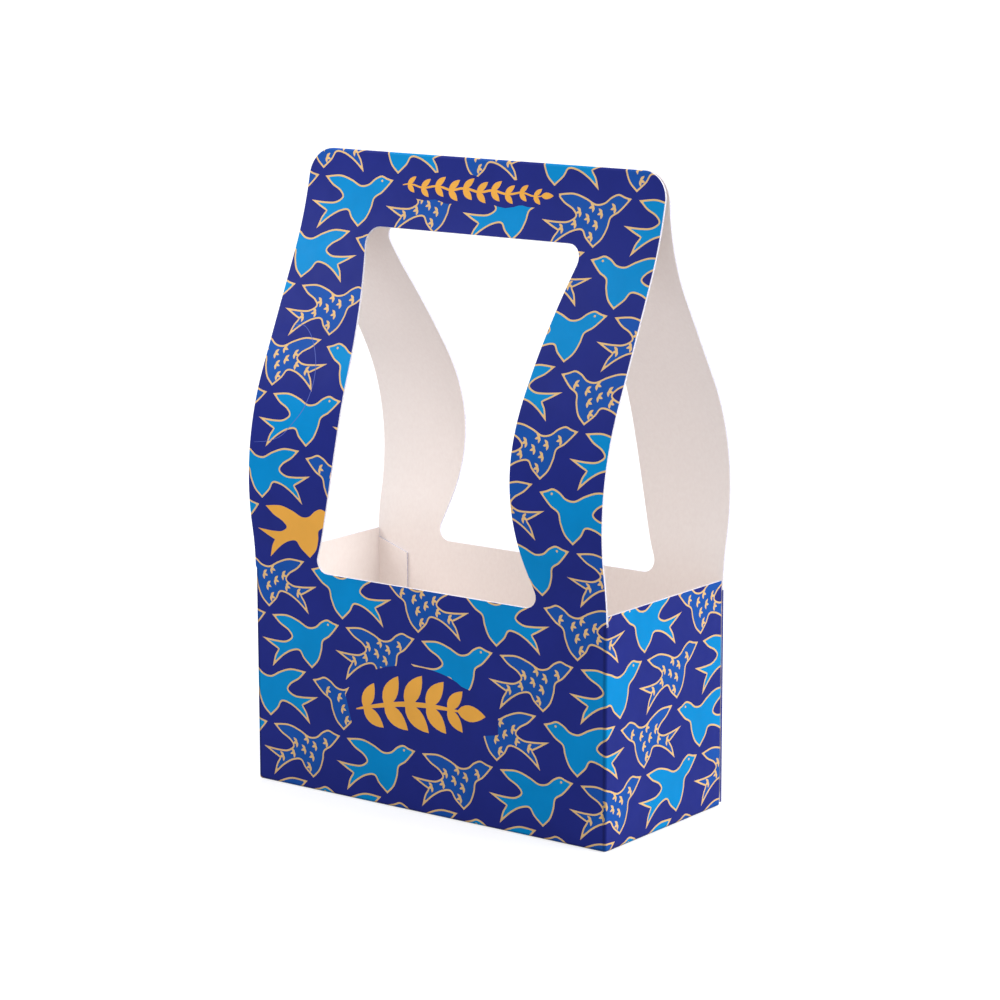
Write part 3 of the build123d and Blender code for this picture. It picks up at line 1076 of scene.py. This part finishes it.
@dataclass
class Division:
    """Triangles that divide the flat sheet along given lines."""

    cut: SheetCut
    lines: list[tuple[Points, bool]]  # each with whether it is closed
    merge: float = 5e-4
    spots: Points = field(init=False)
    faces: Points = field(init=False)
    centres: Points = field(init=False)

    def __post_init__(self) -> None:
        """Divides the sheet."""
        spots: list[Vector] = []
        edges: list[tuple[int, int]] = []
        for line, closed in self.lines:
            first, count = len(spots), len(line)
            spots += [Vector(spot) for spot in line.tolist()]
            edges += [(first + i, first + i + 1) for i in range(count - 1)]
            if closed:
                edges.append((first + count - 1, first))
        found = delaunay_2d_cdt(spots, edges, [], 0, self.merge, False)
        self.spots = np.array([spot[:] for spot in found[0]])
        faces = np.array([face for face in found[2] if len(face) == 3])
        self.centres = self.spots[faces].mean(1)
        held = self.cut.inside(self.centres)
        self.faces, self.centres = faces[held], self.centres[held]
        self._compact()
        self._face_up()

    def _compact(self) -> None:
        """Drops the points that no triangle uses."""
        used, index = np.unique(self.faces, return_inverse=True)
        self.spots, self.faces = self.spots[used], index.reshape(self.faces.shape)

    def _face_up(self) -> None:
        """Turns every triangle counterclockwise."""
        a, b, c = (self.spots[self.faces[:, k]] for k in range(3))
        area = (b[:, 0] - a[:, 0]) * (c[:, 1] - a[:, 1]) - (b[:, 1] - a[:, 1]) * (c[:, 0] - a[:, 0])
        self.faces[area < 0] = self.faces[area < 0][:, ::-1]

    def rim(self) -> Points:
        """Finds the sides that only one triangle has.

        Returns:
            Pairs of point numbers, each as the triangle runs along the side.
        """
        sides = np.vstack([self.faces[:, [k, (k + 1) % 3]] for k in range(3)])
        keys = sides[:, 0] * len(self.spots) + sides[:, 1]
        back = sides[:, 1] * len(self.spots) + sides[:, 0]
        return sides[~np.isin(keys, back)]

    def matched(self, other: "Division") -> np.ndarray:
        """Finds, for each point of this division's rim, the same point of another one.

        Args:
            other: The other division of the same sheet.

        Returns:
            The other's point numbers by this one's, or -1 away from the rim.
        """
        tree = KDTree(len(other.spots))
        for number, spot in enumerate(other.spots):
            tree.insert((*spot, 0.0), number)
        tree.balance()
        match = np.full(len(self.spots), -1)
        for number in np.unique(self.rim()):
            _, nearest, gap = tree.find((*self.spots[number], 0.0))
            if gap < 2 * self.merge:
                match[number] = nearest
        return match


class NodeKit:
    """An emptied node tree, and short ways to add nodes to it."""

    def __init__(self, owner: bpy.types.Material | bpy.types.World) -> None:
        """Empties the node tree.

        Args:
            owner: The material or world that has it.
        """
        owner.use_nodes = True
        self.tree = owner.node_tree
        self.tree.nodes.clear()

    def fill(self, node: bpy.types.Node, inputs: dict[str | int, Socket | float | tuple]) -> None:
        """Sets a node's inputs.

        Args:
            node: The node.
            inputs: A value, or the socket to link, for each input.
        """
        for name, value in inputs.items():
            if isinstance(value, Socket):
                self.tree.links.new(value, node.inputs[name])
            else:
                node.inputs[name].default_value = value

    def add(self, kind: str, inputs: dict[str | int, Socket | float | tuple] | None = None,
            **options: str) -> bpy.types.Node:
        """Adds a node.

        Args:
            kind: Its type.
            inputs: A value or a socket for each input that is set.
            options: Its other settings.

        Returns:
            The node.
        """
        node = self.tree.nodes.new(kind)
        for name, value in options.items():
            setattr(node, name, value)
        self.fill(node, inputs or {})
        return node

    def seen_rays(self) -> Socket:
        """Gives 1 for rays of sight, straight or by way of gloss or clear material.

        Returns:
            The socket.
        """
        path = self.add("ShaderNodeLightPath")
        total = path.outputs["Is Camera Ray"]
        for name in ("Is Glossy Ray", "Is Transmission Ray"):
            either = {0: total, 1: path.outputs[name]}
            total = self.add("ShaderNodeMath", either, operation="MAXIMUM").outputs[0]
        return total


@dataclass(frozen=True)
class Noise:
    """A noise pattern fixed to the board: waves to the metre, finer layers, and scale along each axis."""

    waves: float
    layers: float
    stretch: tuple[float, float, float] = (1.0, 1.0, 1.0)


@dataclass(frozen=True)
class Relief:
    """A relief of the surface, its height in metres."""

    noise: Noise
    strength: float
    height: float


class FinishNodes(NodeKit):
    """A material with its shader, and the nodes that the finishes share."""

    noise_low = 0.3                   # middle range of a noise pattern, which is spread over its values
    noise_high = 0.7

    def __init__(self, name: str) -> None:
        """Makes the material.

        Args:
            name: Its name.
        """
        self.material = bpy.data.materials.new(name)
        super().__init__(self.material)
        self.shader = self.add("ShaderNodeBsdfPrincipled")
        self.add("ShaderNodeOutputMaterial", {"Surface": self.shader.outputs["BSDF"]})
        self.place = self.add("ShaderNodeTexCoord").outputs["Object"]

    def pattern(self, noise: Noise) -> Socket:
        """Adds a noise pattern.

        Args:
            noise: Its scales.

        Returns:
            Its socket.
        """
        place = self.place
        if len(set(noise.stretch)) > 1:
            mapping = self.add("ShaderNodeMapping", {"Scale": noise.stretch, "Vector": place})
            place = mapping.outputs["Vector"]
        scales = {"Scale": noise.waves, "Detail": noise.layers, "Vector": place}
        return self.add("ShaderNodeTexNoise", scales).outputs["Fac"]

    def spread(self, noise: Noise, low: float, high: float) -> Socket:
        """Spreads a noise pattern's middle range over given values."""
        ranges = {"From Min": self.noise_low, "From Max": self.noise_high, "To Min": low, "To Max": high}
        return self.add("ShaderNodeMapRange", {**ranges, "Value": self.pattern(noise)}).outputs["Result"]

    def mixed(self, noise: Noise, tones: tuple[Colour, Colour]) -> Socket:
        """Mixes two colours by a noise pattern."""
        inputs = {"Factor": self.spread(noise, 0.0, 1.0), "A": (*tones[0], 1.0), "B": (*tones[1], 1.0)}
        return self.add("ShaderNodeMix", inputs, data_type="RGBA").outputs["Result"]

    def painted_shade(self, colour: Socket, depth: float) -> Socket:
        """Darkens a colour by the shade painted along the corner creases and the contact shadow painted
        along the foot.

        Args:
            colour: The colour's socket.
            depth: How much darker the colour is where the painted shade is deepest.

        Returns:
            The darkened colour's socket.
        """
        share = self.add("ShaderNodeAttribute", attribute_name=PAINTED_SHADE).outputs["Fac"]
        level = self.add("ShaderNodeMapRange", {"To Min": 1.0, "To Max": 1 - depth, "Value": share})
        product = {0: colour, "Scale": level.outputs["Result"]}
        return self.add("ShaderNodeVectorMath", product, operation="SCALE").outputs["Vector"]

    def relieve(self, reliefs: tuple[Relief, ...]) -> None:
        """Gives the shader its reliefs.

        Args:
            reliefs: The reliefs, each on top of those before it.
        """
        below: dict[str, Socket] = {}
        for relief in reliefs:
            height = {"Strength": relief.strength, "Distance": relief.height,
                      "Height": self.pattern(relief.noise)}
            below = {"Normal": self.add("ShaderNodeBump", {**height, **below}).outputs["Normal"]}
        self.fill(self.shader, below)


@dataclass(frozen=True)
class SheetFinish:
    """A finish of the sheet: two tones, a roughness and reliefs, each varied by noise."""

    name: str
    tones: tuple[Colour, Colour]
    tone_noise: Noise
    roughness: tuple[float, float]
    roughness_noise: Noise
    specular: float
    reliefs: tuple[Relief, ...]
    painted_shade: float = 0.0                 # how much darker painted shade makes it on a crease and along the foot

    def material(self) -> bpy.types.Material:
        """Makes the finish's material.

        Returns:
            The material.
        """
        kit = FinishNodes(self.name)
        colour = kit.mixed(self.tone_noise, self.tones)
        # painted shade on the corner creases and painted contact shadow along the foot
        if self.painted_shade:
            colour = kit.painted_shade(colour, self.painted_shade)
        kit.fill(kit.shader, {
            "Base Color": colour,
            "Roughness": kit.spread(self.roughness_noise, *self.roughness),
            "Specular IOR Level": self.specular})
        kit.relieve(self.reliefs)
        return kit.material


def ink(name: str, colour: Colour, roughness: float = 0.42, mottle: float = 0.05) -> SheetFinish:
    """Gives a printed ink under a satin varnish, on paper whose grain just shows.

    Args:
        name: The material's name.
        colour: The ink's colour.
        roughness: Its roughness.
        mottle: How far its colour varies.

    Returns:
        The finish.
    """
    smoother, rougher = 0.05, 0.07
    dark, light = (tuple(value * (1 + way * mottle) for value in colour) for way in (-1, 1))
    grain = Relief(Noise(waves=2600.0, layers=2.0), strength=0.08, height=0.00003)
    swell = Relief(Noise(waves=38.0, layers=1.0), strength=0.16, height=0.0006)
    # the inks take painted shade on the corner creases and painted contact shadow along the foot
    return SheetFinish(
        name, tones=(dark, light), tone_noise=Noise(waves=70.0, layers=3.0),
        roughness=(roughness - smoother, roughness + rougher),
        roughness_noise=Noise(waves=160.0, layers=2.0),
        specular=0.05, reliefs=(grain, swell), painted_shade=0.45)


FIBRES = (1.0, 1.0, 0.6)              # the bare board's fibres lie along its height
FINISHES = {
    Face.GROUND: ink("ink_indigo", srgb(34, 44, 130)),
    Face.AZURE: ink("ink_azure", srgb(0, 142, 211)),
    Face.ROYAL: ink("ink_royal", srgb(26, 85, 173)),
    Face.GOLD: ink("ink_gold", srgb(248, 180, 78), 0.45),
    Face.LINE: ink("ink_gold_line", srgb(236, 195, 134), 0.45),
    Face.PRESSED: ink("ink_pressed", srgb(96, 110, 190), 0.5),
    Face.BARE: SheetFinish(
        "bare_board", tones=(srgb(247, 238, 234), srgb(251, 243, 239)),
        tone_noise=Noise(waves=900.0, layers=5.0, stretch=FIBRES),
        roughness=(0.78, 0.92), roughness_noise=Noise(waves=300.0, layers=2.0), specular=0.25,
        reliefs=(Relief(Noise(waves=1800.0, layers=4.0, stretch=FIBRES), strength=0.08, height=0.00003),)),
    Face.EDGE: SheetFinish(
        "cut_edge", tones=(srgb(214, 210, 226), srgb(246, 244, 250)),
        tone_noise=Noise(waves=1400.0, layers=4.0),
        roughness=(0.75, 0.95), roughness_noise=Noise(waves=900.0, layers=2.0), specular=0.5,
        reliefs=(Relief(Noise(waves=2200.0, layers=3.0), strength=0.3, height=0.00005),)),
}


def added(data: bpy.types.ID) -> bpy.types.Object:
    """Adds an object to the scene.

    Args:
        data: Its mesh, light or camera, whose name it takes.

    Returns:
        The object.
    """
    thing = bpy.data.objects.new(data.name, data)
    bpy.context.scene.collection.objects.link(thing)
    return thing


@dataclass
class PrintedSheet:
    """The carrier's one piece: a sheet of board, printed, cut, creased and glued."""

    sizes: CarrierSizes = CarrierSizes()
    name: str = "printed_sheet"
    sheet_span: float = 760.0         # flat length that the baked picture's width stands for
    sheet_margin: float = 4.0
    fold: FoldedSheet = field(init=False)
    face: Division = field(init=False)
    back: Division = field(init=False)
    rim: Points = field(init=False)
    match: np.ndarray = field(init=False)

    def build(self) -> bpy.types.Object:
        """Cuts, prints and folds the sheet.

        Returns:
            The finished piece.
        """
        self.fold = FoldedSheet(self.sizes)
        cut, design = SheetCut(self.fold), PrintedDesign(self.fold)
        shapes, grounds = design.shapes(), design.grounds()
        bends = [(line, False) for line in cut.bend_lines()]
        closed = [*cut.loops, *grounds, *(shape.outline for shape in shapes)]
        self.face = Division(cut, [*((loop, True) for loop in closed), *bends])
        self.rim = self.face.rim()
        self.back = Division(cut, [*((self.face.spots[side], False) for side in self.rim), *bends])
        self.match = self.back.matched(self.face)
        LOG.info("%d shapes, %d printed and %d bare triangles, rim of %d sides", len(shapes),
                 len(self.face.faces), len(self.back.faces), len(self.rim))
        if not self._same_rim():
            LOG.warning("the bare face takes the printed face's triangles")
            self.back, self.match = self.face, np.arange(len(self.face.spots))
        piece = added(self._mesh(self._print(shapes, grounds)))
        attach(piece, "root")
        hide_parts("carrier")
        return piece

    def _same_rim(self) -> bool:
        """Tells whether both faces have the same rim, side by side."""
        other = self.match[self.back.rim()]
        return bool((other >= 0).all()) and set(map(tuple, other)) == set(map(tuple, self.rim))

    def _print(self, shapes: list[Shape], grounds: list[Points]) -> np.ndarray:
        """Finds what each triangle of the printed face shows.

        Args:
            shapes: The print's shapes.
            grounds: The areas that take ink.

        Returns:
            A face value for each triangle.
        """
        centres = self.face.centres
        inked = np.logical_or.reduce([inside(ground, centres) for ground in grounds])
        shown = np.where(inked, Face.GROUND, Face.BARE)
        order = np.argsort(centres[:, 1])
        level = centres[order, 1]
        for shape in shapes:
            low, high = shape.outline.min(0), shape.outline.max(0)
            near = order[np.searchsorted(level, low[1]):np.searchsorted(level, high[1])]
            across, rear = centres[near, 0], centres[near, 1] > self.fold.top
            near = near[(across > low[0]) & (across < high[0]) & inked[near] & (rear == shape.rear)]
            for outline in (shape.outline, shape.within):
                near = near if outline is None else near[inside(outline, centres[near])]
            shown[near] = shape.face
        return shown

    def _cut_edge(self) -> np.ndarray:
        """Finds what each side of the cut edge shows.

        Returns:
            The white edge, or ink at the rear wall's ends, where no white shows beside the side walls.
        """
        across, v = self.face.spots[self.rim].mean(1).T
        wall = v > self.fold.end - self.fold.rear.starts[3]
        return np.where(wall & (np.abs(across) > self.sizes.half_width - CLOSE), Face.GROUND, Face.EDGE)

    def _mesh(self, shown: np.ndarray) -> bpy.types.Mesh:
        """Joins the printed face, the bare face and the cut edge into one closed mesh.

        Args:
            shown: What each printed triangle shows.

        Returns:
            The mesh, with its materials.
        """
        face, back, rim = self.face, self.back, self.rim
        outer, outer_normal = self.fold.place(face.spots)
        inner, inner_normal = self.fold.place(back.spots)
        inner -= inner_normal * self.sizes.board
        shift = len(outer)
        behind = np.full(shift, -1)
        rimmed = self.match >= 0
        behind[self.match[rimmed]] = np.flatnonzero(rimmed) + shift
        edges = np.column_stack([rim[:, 1], rim[:, 0], behind[rim[:, 0]], behind[rim[:, 1]]])
        faces = [*face.faces.tolist(), *(back.faces[:, ::-1] + shift).tolist(), *edges.tolist()]

        mesh = bpy.data.meshes.new(self.name)
        mesh.from_pydata((np.vstack([outer, inner]) * MM).tolist(), [], faces)
        slots = np.concatenate([shown, np.full(len(back.faces), Face.BARE), self._cut_edge()])
        mesh.polygons.foreach_set("material_index", slots.astype(np.int32))
        mesh.polygons.foreach_set("use_smooth", np.ones(len(faces), bool))
        # painted shade at each point: darker on the corner creases and painted contact shadow along the
        # foot; none on the bare face
        painted_shade = np.concatenate([self.fold.painted_shade(face.spots, outer), np.zeros(len(inner))])
        mesh.attributes.new(PAINTED_SHADE, "FLOAT", "POINT").data.foreach_set("value", painted_shade.astype(np.float32))
        for slot in Face:
            mesh.materials.append(FINISHES[slot].material())
        self._round(mesh, np.vstack([outer_normal, -inner_normal]))
        self._unfold(mesh)
        return mesh

    def _round(self, mesh: bpy.types.Mesh, normals: Points) -> None:
        """Sets the normals: round ones on both faces, flat ones on the cut edge.

        Args:
            mesh: The sheet's mesh.
            normals: The round normal at each point.
        """
        spots = np.zeros(len(mesh.loops), np.int32)
        mesh.loops.foreach_get("vertex_index", spots)
        smooth = normals[spots]
        flat = np.zeros(len(mesh.polygons) * 3, np.float32)
        mesh.polygons.foreach_get("normal", flat)
        triangles = len(self.face.faces) + len(self.back.faces)
        smooth[3 * triangles:] = np.repeat(flat.reshape(-1, 3)[triangles:], 4, axis=0)
        mesh.normals_split_custom_set(smooth.tolist())

    def _unfold(self, mesh: bpy.types.Mesh) -> None:
        """Lays both faces out flat beside each other for baking, the cut edge along the printed one.

        Args:
            mesh: The sheet's mesh.
        """
        face, back = self.face, self.back
        half, up = self.sheet_span / 4, self.sheet_margin - face.spots[:, 1].min()
        printed = face.spots[face.faces].reshape(-1, 2) + [half, up]
        bare = back.spots[back.faces[:, ::-1]].reshape(-1, 2) * [-1, 1] + [3 * half, up]
        start, end = (face.spots[self.rim[:, k]] for k in (0, 1))
        out = -left_of(end - start) * self.sizes.board
        strip = np.stack([end, start, start + out, end + out], 1).reshape(-1, 2) + [half, up]
        flat = np.vstack([printed, bare, strip]) / self.sheet_span
        mesh.uv_layers.new(name="OFBake").data.foreach_set("uv", flat.astype(np.float32).ravel())


def stand(azimuth: float, elevation: float) -> Vector:
    """Gives the way from the carrier to what stands round it, from angles in degrees."""
    around, above = radians(azimuth), radians(elevation)
    return Vector((sin(around) * cos(above), -cos(around) * cos(above), sin(above)))


class LampKind(Enum):
    """Where a softbox stands: close by, so that what lies nearer to it is brighter, or far away."""

    NEAR = "AREA"
    FAR = "SUN"


@dataclass(frozen=True)
class Softbox:
    """A soft light that faces the carrier; lengths in metres, angles in degrees."""

    name: str
    kind: LampKind
    azimuth: float
    elevation: float
    power: float
    size: float                       # side of a near one, or angle that a far one fills
    distance: float = 2.0
    aim_height: float = 0.0

    def build(self) -> None:
        """Makes the softbox."""
        light = bpy.data.lights.new(self.name, self.kind.value)
        light.energy = self.power
        if self.kind is LampKind.NEAR:
            light.size = self.size
        else:
            light.angle = radians(self.size)
        way = stand(self.azimuth, self.elevation)
        lamp = added(light)
        lamp.rotation_euler = way.to_track_quat("Z", "Y").to_euler()
        lamp.location = way * self.distance + Vector((0, 0, self.aim_height))


@dataclass(frozen=True)
class StudioFloor:
    """A plain pale floor that keeps the carrier's soft shadow; lengths in metres."""

    reach: float = 9.0
    gap: float = 0.0001               # below the board, so that they don't share a face
    colour: Colour = srgb(188, 189, 192)
    shade: float = 0.985
    paper: Noise = Noise(waves=30.0, layers=3.0)
    roughness: float = 0.9
    specular: float = 0.1
    lift: float = 0.62                # glow in the camera's eye, which makes unshaded paper white

    def build(self) -> None:
        """Makes the floor."""
        mesh = bpy.data.meshes.new("studio_floor")
        ways = ((-1, -1), (1, -1), (1, 1), (-1, 1))
        corners = [(x * self.reach, y * self.reach, -self.gap) for x, y in ways]
        mesh.from_pydata(corners, [], [(0, 1, 2, 3)])
        kit = FinishNodes("studio_paper")
        shaded = tuple(value * self.shade for value in self.colour)
        glow = kit.add("ShaderNodeMath", {0: kit.seen_rays(), 1: self.lift}, operation="MULTIPLY")
        kit.fill(kit.shader, {
            "Base Color": kit.mixed(self.paper, (shaded, self.colour)),
            "Roughness": self.roughness, "Specular IOR Level": self.specular,
            "Emission Color": WHITE, "Emission Strength": glow.outputs[0]})
        mesh.materials.append(kit.material)
        added(mesh)


@dataclass(frozen=True)
class StudioCamera:
    """The camera at the carrier's viewing angle; lengths in millimetres, angles in degrees."""

    azimuth: float = 37.0
    elevation: float = 11.364
    roll: float = -0.1345
    distance: float = 1357.6
    aim_across: float = 5.576
    aim_height: float = 120.2
    lens: float = 122.84
    sensor: float = 36.0

    def build(self) -> None:
        """Makes the camera and gives it to the scene."""
        around, roll = radians(self.azimuth), radians(self.roll)
        back = stand(self.azimuth, self.elevation)
        level = Vector((cos(around), sin(around), 0))
        upright = back.cross(level)
        right = level * cos(roll) + upright * sin(roll)
        up = upright * cos(roll) - level * sin(roll)
        aim = level * self.aim_across + Vector((0, 0, self.aim_height))
        data = bpy.data.cameras.new("studio_camera")
        data.lens, data.sensor_width, data.sensor_fit = self.lens, self.sensor, "HORIZONTAL"
        camera = added(data)
        turn = Matrix((right, up, back)).transposed()
        camera.matrix_world = Matrix.Translation((aim + back * self.distance) * MM) @ turn.to_4x4()
        bpy.context.scene.camera = camera


@dataclass(frozen=True)
class Studio:
    """Floor, lamps, surroundings and camera."""

    camera: StudioCamera = StudioCamera()
    floor: StudioFloor = StudioFloor()
    lamps: tuple[Softbox, ...] = (
        Softbox("left_softbox", LampKind.NEAR, azimuth=-58.0, elevation=41.0, power=1.35, size=0.3,
                distance=0.56, aim_height=0.11),
        Softbox("right_softbox", LampKind.FAR, azimuth=112.0, elevation=32.0, power=2.0, size=50.0),
        Softbox("rear_softbox", LampKind.FAR, azimuth=180.0, elevation=45.0, power=1.2, size=55.0),
    )
    surround: float = 0.6

    def build(self) -> None:
        """Sets the stage."""
        bpy.context.scene.view_settings.view_transform = "Standard"
        for part in (self.camera, self.floor, *self.lamps):
            part.build()
        world = bpy.data.worlds.new("studio_surround")
        kit = NodeKit(world)
        light = kit.add("ShaderNodeBackground", {"Strength": self.surround, "Color": WHITE})
        white = kit.add("ShaderNodeBackground", {"Color": WHITE})
        mixed = {0: kit.seen_rays(), 1: light.outputs[0], 2: white.outputs[0]}
        surface = kit.add("ShaderNodeMixShader", mixed).outputs[0]
        kit.add("ShaderNodeOutputWorld", {"Surface": surface})
        bpy.context.scene.world = world


def main() -> None:
    """Builds the printed sheet and its studio, and reports them."""
    logging.basicConfig(level=logging.INFO, format="%(name)s: %(message)s")
    piece = PrintedSheet().build()
    LOG.info("%s: %d points, %d faces", piece.name, len(piece.data.vertices), len(piece.data.polygons))
    studio = Studio()
    studio.build()
    LOG.info("studio: %d lamps", len(studio.lamps))


if __name__ == "__main__":
    main()
